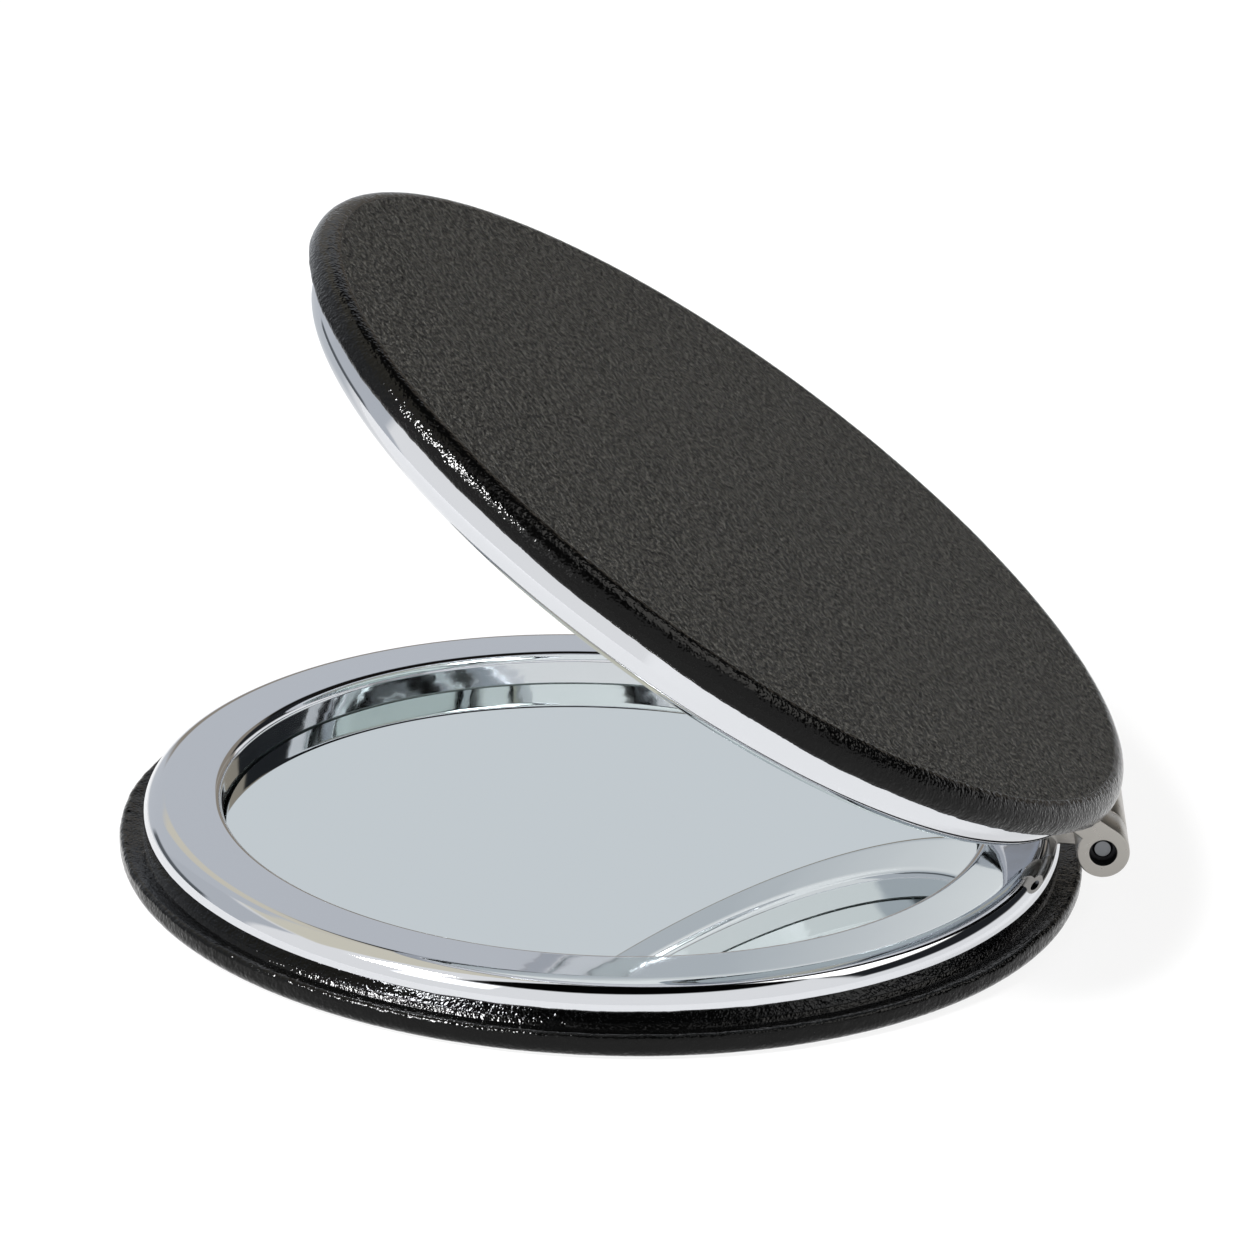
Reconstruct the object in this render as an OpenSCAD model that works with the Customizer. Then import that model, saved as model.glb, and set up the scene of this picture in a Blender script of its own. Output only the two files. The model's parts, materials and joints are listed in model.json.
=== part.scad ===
// Round compact mirror with a padded leather cover on each side of two chrome rings.
// The base lies flat with the middle of its leather face at the origin, and +Z is up.
// The hinge is at +X with its pin along Y, and the lid stands part open.
// Each half is drawn alike: its rims would meet at z = 0, and its body hangs below that.

/* [Case rings] */
// Outer radius of the chrome wall, where it is widest
case_r = 31.5; // [28:0.1:42]
// Width of the ring, from its outer wall to the well that holds the mirror
ring_w = 5.3; // [4.7:0.1:7]
// Height of the ring, from its back to its rim
ring_h = 3; // [2.9:0.1:4]
// Height of the chrome wall, from the rim down to the leather's tucked-in edge
band_h = 2.65; // [2.5:0.05:2.75]
// How much narrower the wall is at its foot
wall_draft = 0.12; // [0.04:0.01:0.2]
// Depth of the step under the wall, where the edge of the leather lies
neck_step = 0.3; // [0.2:0.05:0.5]
// Rounding of the rim's outer corner
rim_round = 1.6; // [0.8:0.05:1.7]
// Rounding of the rim's inner corner
lip_round = 0.7; // [0.2:0.05:0.9]
// How much narrower the well is at its back than at its rim
well_draft = 0.25; // [0.05:0.05:0.5]
// Gap between the two rims when the lid is shut
rim_gap = 0.2; // [0.05:0.05:0.4]

/* [Covers] */
// How far the rolled leather edge stands out from the chrome wall
roll_out = 1.6; // [1.4:0.05:2.2]
// Thickness of the leather
leather_t = 0.6; // [0.4:0.05:0.8]
// Thickness of the foam under the base's leather
base_foam_t = 0.3; // [0.2:0.05:1]
// Thickness of the foam under the lid's leather, which is the fuller one
lid_foam_t = 0.8; // [0.2:0.05:1]
// Thickness of the stiff steel plate that the leather is wrapped round
plate_t = 0.4; // [0.3:0.05:0.7]
// Room between the plate's edge and the inside of the leather
plate_edge = 0.7; // [0.5:0.05:0.9]
// Thickness of the glue between the plate and the ring
glue_t = 0.1; // [0.05:0.05:0.2]
// Width of the bead of glue
glue_w = 3.6; // [2:0.1:3.9]
// Rounding of the roll's upper edge, which faces the chrome wall
edge_round = 0.35; // [0.2:0.05:0.4]
// Height of that edge above the underside of the plate, on the base
base_edge_rise = 0.75; // [0.6:0.05:0.8]
// Height of that edge above the underside of the plate, on the lid
lid_edge_rise = 0.6; // [0.55:0.05:0.8]

/* [Mirrors] */
// Thickness of the silvered glass
glass_t = 0.8; // [0.6:0.1:1.5]
// Gap between the glass and the wall of the well
glass_gap = 0.08; // [0.03:0.01:0.2]
// Thickness of the double-sided tape behind the glass
tape_t = 0.1; // [0.05:0.05:0.3]
// How far the tape stops short of the glass edge
tape_inset = 1; // [0.5:0.1:3]

/* [Magnets] */
// Radius of each closing magnet
magnet_r = 1.5; // [1:0.1:1.7]
// Height of each closing magnet
magnet_h = 2; // [1:0.1:2.3]
// Clearance round a magnet in its pocket
magnet_gap = 0.05; // [0.03:0.01:0.1]
// Angle of each magnet from the side opposite the hinge
magnet_angle = 14; // [8:1:40]

/* [Hinge] */
// How far the lid stands open, from shut
open_angle = 32.5; // [0:0.5:180]
// Length of the hinge along its pin
hinge_len = 13.2; // [11:0.2:18]
// Length of the base's middle knuckle
knuckle_len = 6.4; // [5:0.1:7]
// Gap from the leather edge to the hinge axis
hinge_gap = 0.9; // [0.8:0.05:1.6]
// Outer radius of the lugs and of the middle knuckle
barrel_r = 1.8; // [1.6:0.05:2]
// Thickness of the flat tongue that carries the middle knuckle
tongue_t = 0.85; // [0.6:0.05:1.1]
// Radius of the hinge pin
pin_r = 0.69; // [0.5:0.01:0.8]
// Clearance round the pin where it is driven into the lid's lugs
press_gap = 0.01; // [0.01:0.01:0.02]
// Running clearance round the pin in the middle knuckle
pin_gap = 0.04; // [0.02:0.01:0.08]
// How far each pin end lies below the lug's face
pin_recess = 0.75; // [0.3:0.05:1.2]
// Bevel round each end of the pin
pin_bevel = 0.15; // [0.05:0.05:0.25]
// Room round the pin in the counterbore at each end
sink_gap = 0.24; // [0.1:0.02:0.4]
// How far the counterbore runs past the end of the pin
sink_extra = 0.2; // [0.1:0.05:0.4]
// Thickness of the washers between the knuckle and the lugs
washer_t = 0.15; // [0.1:0.05:0.3]
// How far a washer's edge stays inside the barrel's
washer_inset = 0.05; // [0.02:0.01:0.2]
// Play beside each face of a washer
side_play = 0.02; // [0.01:0.01:0.05]

/* [Hidden] */
$fn = 128;
cut = 0.5;

// Radii
leather_r = case_r + roll_out;
foot_r = case_r - wall_draft;
neck_r = foot_r - neck_step;
well_r = case_r - ring_w;
well_back_r = well_r - well_draft;
plate_r = leather_r - leather_t - plate_edge;
glass_r = well_back_r - glass_gap;
tape_r = glass_r - tape_inset;
ring_mid_r = (neck_r + well_back_r) / 2;

// Levels of a half, counted from the plane where the rims meet
rim_z = -rim_gap / 2;
lip_z = rim_z - band_h;
ring_back_z = rim_z - ring_h;
plate_top_z = ring_back_z - glue_t;
plate_low_z = plate_top_z - plate_t;
glass_back_z = plate_top_z + tape_t;

// The base's leather face is at zero, so this lifts its half above the ground
hinge_z = leather_t + base_foam_t - plate_low_z;

// Hinge
hinge_x = leather_r + hinge_gap;
root_x = ring_mid_r;
lug_in_y = knuckle_len / 2 + washer_t + 2 * side_play;
pin_len = hinge_len - 2 * pin_recess;
sink_r = pin_r + sink_gap;
sink_depth = pin_recess + sink_extra;
washer_r = barrel_r - washer_inset;

// Places one half as the base, face down on the ground
module as_base() {
    translate([0, 0, hinge_z])
        children();
}

// Places one half as the lid, turned over and swung open about the hinge axis
module as_lid() {
    translate([hinge_x, 0, hinge_z])
        rotate([0, open_angle, 0])
            translate([-hinge_x, 0, 0])
                rotate([180, 0, 0])
                    children();
}

// A flat band of a turned profile, from the axis out to a radius, between two levels
module slab(r, low_z, high_z) {
    translate([0, low_z])
        square([r, high_z - low_z]);
}

// A disc or ring between two levels
module disc(r, low_z, high_z) {
    translate([0, 0, low_z])
        cylinder(r = r, h = high_z - low_z);
}

module flat_ring(inner_r, outer_r, low_z, high_z) {
    difference() {
        disc(outer_r, low_z, high_z);
        disc(inner_r, low_z - cut, high_z + cut);
    }
}

// The waste outside a rounded corner of a profile, centred on its arc.
// side is 1 for an outer corner and -1 for an inner one, whose wall leans by lean.
module corner_waste(centre_r, centre_z, round_r, side, lean) {
    reach = round_r + cut;
    translate([centre_r, centre_z])
        difference() {
            polygon([
                [0, 0], [0, reach], [side * reach, reach],
                [side * reach * cos(lean), reach * sin(lean)]
            ]);
            circle(r = round_r);
        }
}

// Cross-section of the chrome ring, with its step, two rounded corners, a wall that
// narrows to its foot and a drafted well
module ring_profile() {
    lean = atan(well_draft / ring_h);
    lip_centre_r = well_r + lip_round * (1 / cos(lean) - tan(lean));
    difference() {
        polygon([
            [well_back_r, ring_back_z], [neck_r, ring_back_z], [neck_r, lip_z],
            [foot_r, lip_z], [case_r, rim_z - rim_round], [case_r, rim_z], [well_r, rim_z]
        ]);
        corner_waste(case_r - rim_round, rim_z - rim_round, rim_round, 1, 0);
        corner_waste(lip_centre_r, rim_z - lip_round, lip_round, -1, lean);
    }
}

// Puts one child at each magnet's place; side picks the left one, the right one or both
module at_magnets(sides) {
    for (side = sides)
        rotate([0, 0, 180 + side * magnet_angle])
            translate([ring_mid_r, 0, ring_back_z])
                children();
}

module case_ring() {
    difference() {
        rotate_extrude()
            ring_profile();
        at_magnets([-1, 1])
            translate([0, 0, -cut])
                cylinder(r = magnet_r + magnet_gap, h = magnet_h + magnet_gap + cut);
    }
}

// A round bar along the hinge axis, from one y to another
module hinge_bar(r, from_y, to_y) {
    translate([hinge_x, to_y, 0])
        rotate([90, 0, 0])
            cylinder(r = r, h = to_y - from_y);
}

// A block from inside the ring out to the hinge axis
module hinge_block(from_y, to_y, low_z, high_z) {
    translate([root_x, from_y, low_z])
        cube([hinge_x - root_x, to_y - from_y, high_z - low_z]);
}

// Leather skin of one half: flat face, rolled edge, and tucked-in edge under the wall.
// edge_rise is the height of the roll's upper edge above the plate's underside.
module leather_cover(foam_t, edge_rise) {
    roll_r = leather_t + foam_t;
    roll_in_r = leather_r - roll_r;
    edge_z = plate_low_z + edge_rise;
    edge_centre_z = edge_z - edge_round;
    rotate_extrude()
        difference() {
            union() {
                slab(roll_in_r, plate_low_z - roll_r, plate_low_z);
                slab(leather_r, plate_low_z, edge_centre_z);
                slab(leather_r - edge_round, plate_low_z, edge_z);
                slab(foot_r, plate_low_z, lip_z);
                intersection() {
                    translate([roll_in_r, plate_low_z])
                        circle(r = roll_r);
                    slab(leather_r + cut, plate_low_z - roll_r - cut, plate_low_z);
                }
                intersection() {
                    translate([leather_r - edge_round, edge_centre_z])
                        circle(r = edge_round);
                    slab(leather_r + cut, edge_centre_z, edge_z + cut);
                }
            }
            foam_profile(foam_t);
            slab(plate_r, plate_low_z, plate_top_z);
            slab(neck_r, plate_low_z, lip_z + cut);
        }
}

// Cross-section of the foam: under the plate, round its edge and up beside it
module foam_profile(foam_t) {
    edge_r = leather_r - leather_t - foam_t;
    slab(edge_r, plate_low_z - foam_t, plate_low_z);
    intersection() {
        translate([edge_r, plate_low_z])
            circle(r = foam_t);
        slab(leather_r, plate_low_z - foam_t - cut, plate_low_z);
    }
    polygon([
        [plate_r, plate_low_z], [leather_r - leather_t, plate_low_z], [plate_r, plate_top_z]
    ]);
}

module foam_pad(foam_t) {
    rotate_extrude()
        foam_profile(foam_t);
}

module cover_plate() {
    disc(plate_r, plate_low_z, plate_top_z);
}

// Glue between plate and ring, in the middle of the ring's back
module cover_glue() {
    flat_ring(ring_mid_r - glue_w / 2, ring_mid_r + glue_w / 2, plate_top_z, ring_back_z);
}

module mirror_tape() {
    disc(tape_r, plate_top_z, glass_back_z);
}

module mirror_glass() {
    disc(glass_r, glass_back_z, glass_back_z + glass_t);
}

module magnet(side) {
    at_magnets([side])
        cylinder(r = magnet_r, h = magnet_h);
}

// Washer on the pin, on the y side that side names
module hinge_washer(side) {
    face_y = knuckle_len / 2 + side_play;
    low_y = side > 0 ? face_y : -face_y - washer_t;
    difference() {
        hinge_bar(washer_r, low_y, low_y + washer_t);
        hinge_bar(pin_r + pin_gap, low_y - cut, low_y + washer_t + cut);
    }
}

// Base

module base_leather() {
    color("#2a2927") as_base() leather_cover(base_foam_t, base_edge_rise);
}

module base_foam() {
    color("#4a4a4c") as_base() foam_pad(base_foam_t);
}

module base_plate() {
    color("#8f9296") as_base() cover_plate();
}

module base_glue() {
    color("#d9d2b8") as_base() cover_glue();
}

// The base ring carries a flat tongue and the hinge's middle knuckle
module base_case() {
    half_len = knuckle_len / 2;
    color("#c9ccd2") as_base() difference() {
        union() {
            case_ring();
            hinge_block(-half_len, half_len, rim_z - tongue_t, rim_z);
            hinge_bar(barrel_r, -half_len, half_len);
        }
        hinge_bar(pin_r + pin_gap, -half_len - cut, half_len + cut);
    }
}

module base_mirror_tape() {
    color("#e6e6e2") as_base() mirror_tape();
}

module base_mirror() {
    color("#c3ccd6") as_base() mirror_glass();
}

module base_magnet_left() {
    color("#9a9a9e") as_base() magnet(-1);
}

module base_magnet_right() {
    color("#9a9a9e") as_base() magnet(1);
}

// Lid

module lid_leather() {
    color("#2a2927") as_lid() leather_cover(lid_foam_t, lid_edge_rise);
}

module lid_foam() {
    color("#4a4a4c") as_lid() foam_pad(lid_foam_t);
}

module lid_plate() {
    color("#8f9296") as_lid() cover_plate();
}

module lid_glue() {
    color("#d9d2b8") as_lid() cover_glue();
}

// The lid ring carries two flat-topped lugs, which hold the pin and sink its ends
module lid_case() {
    end_y = hinge_len / 2;
    color("#c9ccd2") as_lid() difference() {
        union() {
            case_ring();
            hinge_block(lug_in_y, end_y, -barrel_r, rim_z);
            hinge_block(-end_y, -lug_in_y, -barrel_r, rim_z);
            hinge_bar(barrel_r, lug_in_y, end_y);
            hinge_bar(barrel_r, -end_y, -lug_in_y);
        }
        hinge_bar(pin_r + press_gap, -end_y - cut, end_y + cut);
        hinge_bar(sink_r, end_y - sink_depth, end_y + cut);
        hinge_bar(sink_r, -end_y - cut, -end_y + sink_depth);
    }
}

module lid_mirror_tape() {
    color("#e6e6e2") as_lid() mirror_tape();
}

module lid_mirror() {
    color("#c3ccd6") as_lid() mirror_glass();
}

module lid_magnet_left() {
    color("#9a9a9e") as_lid() magnet(-1);
}

module lid_magnet_right() {
    color("#9a9a9e") as_lid() magnet(1);
}

// Hinge

module hinge_pin() {
    half_len = pin_len / 2;
    color("#8d9094") translate([hinge_x, 0, hinge_z])
        rotate([90, 0, 0])
            rotate_extrude()
                polygon([
                    [0, -half_len], [pin_r - pin_bevel, -half_len],
                    [pin_r, pin_bevel - half_len], [pin_r, half_len - pin_bevel],
                    [pin_r - pin_bevel, half_len], [0, half_len]
                ]);
}

module hinge_washer_near() {
    color("#b5b8bc") as_base() hinge_washer(-1);
}

module hinge_washer_far() {
    color("#b5b8bc") as_base() hinge_washer(1);
}

base_leather();
base_foam();
base_plate();
base_glue();
base_case();
base_mirror_tape();
base_mirror();
base_magnet_left();
base_magnet_right();
lid_leather();
lid_foam();
lid_plate();
lid_glue();
lid_case();
lid_mirror_tape();
lid_mirror();
lid_magnet_left();
lid_magnet_right();
hinge_pin();
hinge_washer_near();
hinge_washer_far();
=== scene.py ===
import json
import math

import bmesh
import bpy
import numpy as np
from mathutils import Matrix, Vector
from mathutils.geometry import tessellate_polygon


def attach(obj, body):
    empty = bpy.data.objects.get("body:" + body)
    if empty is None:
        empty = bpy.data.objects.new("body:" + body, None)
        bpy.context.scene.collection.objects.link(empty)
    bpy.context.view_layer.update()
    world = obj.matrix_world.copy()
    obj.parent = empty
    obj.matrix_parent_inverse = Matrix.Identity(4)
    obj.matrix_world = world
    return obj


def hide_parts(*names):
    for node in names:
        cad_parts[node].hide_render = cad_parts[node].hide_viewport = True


# Round compact mirror, standing part open: two chrome rings on one hinge, each with
# a mirror in its well and a padded leather cover wrapped over its edge.
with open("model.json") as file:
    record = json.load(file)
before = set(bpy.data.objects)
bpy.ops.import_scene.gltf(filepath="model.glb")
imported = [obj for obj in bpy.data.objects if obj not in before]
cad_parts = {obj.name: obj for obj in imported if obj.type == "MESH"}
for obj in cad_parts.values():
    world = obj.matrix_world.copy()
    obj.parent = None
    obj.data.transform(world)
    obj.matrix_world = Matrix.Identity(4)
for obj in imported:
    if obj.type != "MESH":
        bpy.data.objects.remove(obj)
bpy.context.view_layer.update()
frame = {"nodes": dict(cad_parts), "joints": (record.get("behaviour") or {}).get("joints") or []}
print("frame loaded:", len(frame["nodes"]), "CAD nodes")

# Sizes below are millimetres unless a line says otherwise. Each half is drawn alike,
# as in the CAD: its rims would meet at z = 0 and its body hangs below that.
mm = 0.001
hinge = frame["joints"][0]
hingePoint = Vector(hinge["pos_m"])
openAngle = -math.radians(hinge["range_deg"][0])
places = {
    "base": Matrix.Translation((0, 0, hingePoint.z)) @ Matrix.Scale(mm, 4),
    "lid": (
        Matrix.Translation(hingePoint)
        @ Matrix.Rotation(openAngle, 4, "Y")
        @ Matrix.Translation((-hingePoint.x, 0, 0))
        @ Matrix.Rotation(math.pi, 4, "X")
        @ Matrix.Scale(mm, 4)
    ),
}


def srgb(hexColour):
    parts = [int(hexColour[i:i + 2], 16) / 255 for i in (1, 3, 5)]
    linear = [c / 12.92 if c <= 0.04045 else ((c + 0.055) / 1.055) ** 2.4 for c in parts]
    return (*linear, 1.0)


def addNode(tree, kind, values=None, links=None, **settings):
    node = tree.nodes.new(kind)
    for key, value in settings.items():
        setattr(node, key, value)
    for key, value in (values or {}).items():
        node.inputs[key].default_value = value
    for key, source in (links or {}).items():
        tree.links.new(source, node.inputs[key])
    return node


def newMaterial(name):
    material = bpy.data.materials.new(name)
    material.use_nodes = True
    material.node_tree.nodes.clear()
    return material, material.node_tree


def finished(material, shader):
    tree = material.node_tree
    addNode(tree, "ShaderNodeOutputMaterial", links={"Surface": shader.outputs[0]})
    return material


def placed(name, data):
    made = bpy.data.objects.new(name, data)
    bpy.context.scene.collection.objects.link(made)
    return made


# Camera, at the photograph's angle

cameraSettings = {
    # place and clipStart are metres
    "place": (0.005452, -0.364407, 0.158139),
    "looksAlong": (-0.011296, 0.932378, -0.361307),
    "rollDegrees": 2.2736,
    "lens": 165.81,
    "sensor": 36,
    "clipStart": 0.01,
}


def makeCamera():
    look = Vector(cameraSettings["looksAlong"]).normalized()
    level = look.cross(Vector((0, 0, 1))).normalized()
    roll = math.radians(cameraSettings["rollDegrees"])
    right = level * math.cos(roll) + level.cross(look) * math.sin(roll)
    turn = Matrix((right, right.cross(look), -look)).transposed().to_4x4()
    data = bpy.data.cameras.new("photoCamera")
    data.lens = cameraSettings["lens"]
    data.sensor_width = cameraSettings["sensor"]
    data.clip_start = cameraSettings["clipStart"]
    camera = placed("photoCamera", data)
    camera.matrix_world = Matrix.Translation(cameraSettings["place"]) @ turn
    bpy.context.scene.camera = camera
    bpy.context.scene.view_settings.view_transform = "Standard"


makeCamera()
print("camera placed")

# Studio: a white table and background, two softboxes, a black flag and pale sweeps.
# Each card is a patch of a large dome, given by its compass angles from straight
# ahead (right is positive), its heights above the horizon, its colour and strength.

studio = {
    # lengths are metres and angles degrees
    "domeRadius": 1.4,
    "domeStart": (-135, -4),
    "domeSteps": (240, 64),
    "floorSize": 8,
    "floorDrop": 0.00005,
    "floorGlow": 0.88,
    "floorColour": "#a8a8a8",
    "floorLitColour": "#ececec",
    "floorDimShare": 0.25,
    "worldFill": 0.35,
    "worldColour": "#f4f6f8",
    # the key softbox: compass angles, heights above the horizon and strength
    "key": (-133, -112, 41, 56, 130),
    "keyInFront": 0.05,
    "keySteps": 8,
    # the table's far part lies in shade where the chrome sees it: compass angles from
    # straight ahead, nearest and furthest distance, and colour
    "shadedTable": (-70, 48, 0.05, 1.3, "#cfd3d8"),
    "shadeLift": 0.0001,
    "shadeSteps": 40,
    # degrees at its sides, and rows at its near edge, over which the shade comes in
    "shadeFeather": 12,
    # the room's other cards and walls, the nearest first; each has soft edges
    "feather": 4,
    "cards": {
        "keySpill": (-156, -128, 24, 46, "#ffffff", 3),
        "sideSoftbox": (54, 112, 34, 68, "#fffdf8", 2.6),
        "topStrip": (-200, 200, 86, 100, "#ffffff", 1.2),
        "blackFlag": (110, 222, 46, 88, "#050505", 1),
        "darkRoom": (28, 116, 12, 46, "#26282b", 1),
        "darkCeiling": (-14, 62, 33, 90, "#1a1918", 1),
        "leftGap": (-76, -40, -7, 10, "#63686c", 1),
        "warmFloorEdge": (-20, 38, -8, 16, "#989085", 1),
        "warmWall": (9, 66, 12, 50, "#989085", 1),
        "warmSheet": (-30, -9, 22, 50, "#e2dccb", 1),
        "backSweep": (-54, 15, -8, 50, "#ced2d8", 1),
        "leftSweep": (-92, -46, -8, 42, "#c8ccd2", 1),
        "warmCeiling": (-100, -10, 40, 90, "#e6e1d0", 1),
    },
}


def makeStage():
    def glowing(name, strength):
        # glows in the colour kept at each point, and is the plain world where nothing is
        material, tree = newMaterial(name)
        colour = addNode(tree, "ShaderNodeAttribute", attribute_name="cardColour")
        covered = addNode(tree, "ShaderNodeAttribute", attribute_name="cardCover")
        card = addNode(
            tree, "ShaderNodeEmission", {"Strength": strength},
            {"Color": colour.outputs["Color"]},
        )
        room = addNode(
            tree, "ShaderNodeMapRange", {"To Min": studio["worldFill"], "To Max": 1.0},
            {"Value": seenPlain(tree)},
        )
        world = addNode(tree, "ShaderNodeEmission", links={"Strength": room.outputs[0]})
        both = addNode(
            tree, "ShaderNodeMixShader",
            links={0: covered.outputs["Fac"], 1: world.outputs[0], 2: card.outputs[0]},
        )
        return finished(material, both)

    def seenPlain(tree):
        # 1 where the camera sees it, straight or in a mirror or glass
        path = addNode(tree, "ShaderNodeLightPath")
        shiny = addNode(
            tree, "ShaderNodeMath",
            links={0: path.outputs["Is Camera Ray"], 1: path.outputs["Is Glossy Ray"]},
            operation="MAXIMUM",
        )
        return addNode(
            tree, "ShaderNodeMath",
            links={0: shiny.outputs[0], 1: path.outputs["Is Transmission Ray"]},
            operation="MAXIMUM",
        ).outputs[0]

    def stageObject(name, points, faces, material, colours=None, covers=None):
        mesh = bpy.data.meshes.new(name)
        mesh.from_pydata(points, [], faces)
        mesh.materials.append(material)
        if colours:
            tints = mesh.attributes.new("cardColour", "FLOAT_COLOR", "POINT")
            tints.data.foreach_set("color", np.ravel(colours))
            shares = mesh.attributes.new("cardCover", "FLOAT", "POINT")
            shares.data.foreach_set("value", covers)
        made = placed(name, mesh)
        if colours:
            made.visible_camera = False
            made.visible_shadow = False

    def gridFaces(across, up):
        side = up + 1
        return [
            (i * side + j, i * side + j + 1, (i + 1) * side + j + 1, (i + 1) * side + j)
            for i in range(across) for j in range(up)
        ]

    def onDome(az, el, radius):
        turn, rise = math.radians(az), math.radians(el)
        return (
            radius * math.cos(rise) * math.sin(turn),
            radius * math.cos(rise) * math.cos(turn),
            radius * math.sin(rise),
        )

    # White laminate table: it glows just short of white where it is seen, so that the
    # lamps bring it to white and the object's shadow stays
    table, tree = newMaterial("whiteLaminateTable")
    lit = addNode(
        tree, "ShaderNodeBsdfDiffuse", {"Color": srgb(studio["floorLitColour"])}
    )
    dim = addNode(tree, "ShaderNodeBsdfDiffuse", {"Color": srgb(studio["floorColour"])})
    dimmer = addNode(
        tree, "ShaderNodeMixShader", {0: 1 - studio["floorDimShare"]}, {1: dim.outputs[0]}
    )
    glow = addNode(tree, "ShaderNodeEmission", {"Strength": studio["floorGlow"]})
    seen = addNode(
        tree, "ShaderNodeAddShader", links={0: dimmer.outputs[0], 1: glow.outputs[0]}
    )
    choice = addNode(
        tree, "ShaderNodeMixShader",
        links={0: seenPlain(tree), 1: lit.outputs[0], 2: seen.outputs[0]},
    )
    finished(table, choice)
    half, level = studio["floorSize"] / 2, -studio["floorDrop"]
    corners = [(-half, -half), (half, -half), (half, half), (-half, half)]
    stageObject("table", [(x, y, level) for x, y in corners], [(0, 1, 2, 3)], table)

    def faded(at, low, high, feather):
        part = min(max(min(at - low, high - at) / feather, 0), 1)
        return part * part * (3 - 2 * part)

    az0, az1, near, far, colour = studio["shadedTable"]
    points, colours, covers = [], [], []
    steps, soft = studio["shadeSteps"], studio["shadeFeather"]
    for i in range(steps + 1):
        az = az0 + (az1 - az0) * i / steps
        turn = math.radians(az)
        for j in range(steps + 1):
            d = near * (far / near) ** (j / steps)
            points.append((d * math.sin(turn), d * math.cos(turn), studio["shadeLift"]))
            colours.append(srgb(colour))
            covers.append(faded(az, az0, az1, soft) * min(j / soft, 1))
    stageObject(
        "shadedTable", points, gridFaces(steps, steps), glowing("shadedTable", 1),
        colours, covers,
    )

    # one dome carries all the cards but the key, laid over each other from the furthest
    feather = studio["feather"]
    around, up = studio["domeSteps"]
    firstAz, firstEl = studio["domeStart"]
    points, colours, covers = [], [], []
    for i in range(around + 1):
        for j in range(up + 1):
            az, el = firstAz + 360 * i / around, firstEl + (90 - firstEl) * j / up
            mixed, cover = np.zeros(3), 0.0
            for az0, az1, el0, el1, tint, strength in reversed(studio["cards"].values()):
                turned = max(faded(az + t, az0, az1, feather) for t in (0, -360, 360))
                part = turned * faded(el, el0, el1, feather)
                mixed = mixed * (1 - part) + np.array(srgb(tint)[:3]) * strength * part
                cover = cover * (1 - part) + part
            points.append(onDome(az, el, studio["domeRadius"]))
            colours.append((*(mixed / max(cover, 1e-6)), 1.0))
            covers.append(cover)
    stageObject(
        "cardDome", points, gridFaces(around, up), glowing("cardDome", 1), colours, covers
    )

    az0, az1, el0, el1, strength = studio["key"]
    steps, reach = studio["keySteps"], studio["domeRadius"] - studio["keyInFront"]
    points = [
        onDome(az0 + (az1 - az0) * i / steps, el0 + (el1 - el0) * j / steps, reach)
        for i in range(steps + 1) for j in range(steps + 1)
    ]
    stageObject(
        "keySoftbox", points, gridFaces(steps, steps), glowing("keySoftbox", strength),
        [srgb("#ffffff")] * len(points), [1.0] * len(points),
    )

    world = bpy.data.worlds.new("whiteStudio")
    bpy.context.scene.world = world
    world.use_nodes = True
    tree = world.node_tree
    tree.nodes.clear()
    fill = addNode(
        tree, "ShaderNodeBackground",
        {"Color": srgb(studio["worldColour"]), "Strength": studio["worldFill"]},
    )
    white = addNode(
        tree, "ShaderNodeBackground", {"Color": srgb("#ffffff"), "Strength": 1.0}
    )
    mix = addNode(
        tree, "ShaderNodeMixShader",
        links={0: seenPlain(tree), 1: fill.outputs[0], 2: white.outputs[0]},
    )
    addNode(tree, "ShaderNodeOutputWorld", links={"Surface": mix.outputs[0]})


makeStage()
print("stage set")


# Materials: a texture's scale is how many of it lie along a metre, and the heights and
# depths of bumps are metres.

def objectMaterial(name):
    # also the place of each point on its object
    material, tree = newMaterial(name)
    return material, tree, addNode(tree, "ShaderNodeTexCoord").outputs["Object"]


def noise(tree, scale, detail, place):
    return addNode(
        tree, "ShaderNodeTexNoise", {"Scale": scale, "Detail": detail}, {"Vector": place}
    ).outputs["Fac"]


def dented(tree, depth, height, strength=1.0):
    return addNode(
        tree, "ShaderNodeBump", {"Strength": strength, "Distance": depth},
        {"Height": height},
    ).outputs[0]


def toned(tree, dark, light, share):
    return addNode(
        tree, "ShaderNodeMix", {6: srgb(dark), 7: srgb(light)}, {0: share},
        data_type="RGBA",
    ).outputs[2]


# Nickel and chrome plate on a die-cast zinc ring, buffed on a soft wheel. It gives a
# hard mirror gloss that is slightly blue, with faint waves where the wheel passed.
def chromePlate(name, waveHeight, rippleHeight, hazeLow, hazeHigh):
    material, tree, place = objectMaterial(name)
    # waves about 7 mm long and a fine ripple of about 1.2 mm
    waves = dented(tree, waveHeight, noise(tree, 140, 1.0, place))
    ripple = noise(tree, 820, 1.0, place)
    fine = addNode(
        tree, "ShaderNodeBump", {"Strength": 1.0, "Distance": rippleHeight},
        {"Height": ripple, "Normal": waves},
    )
    haze = addNode(
        tree, "ShaderNodeMapRange", {"To Min": hazeLow, "To Max": hazeHigh},
        {"Value": ripple},
    )
    shader = addNode(
        tree, "ShaderNodeBsdfPrincipled",
        {"Base Color": srgb("#d6d8dc"), "Metallic": 1.0},
        {"Roughness": haze.outputs[0], "Normal": fine.outputs[0]},
    )
    return finished(material, shader)


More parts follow.
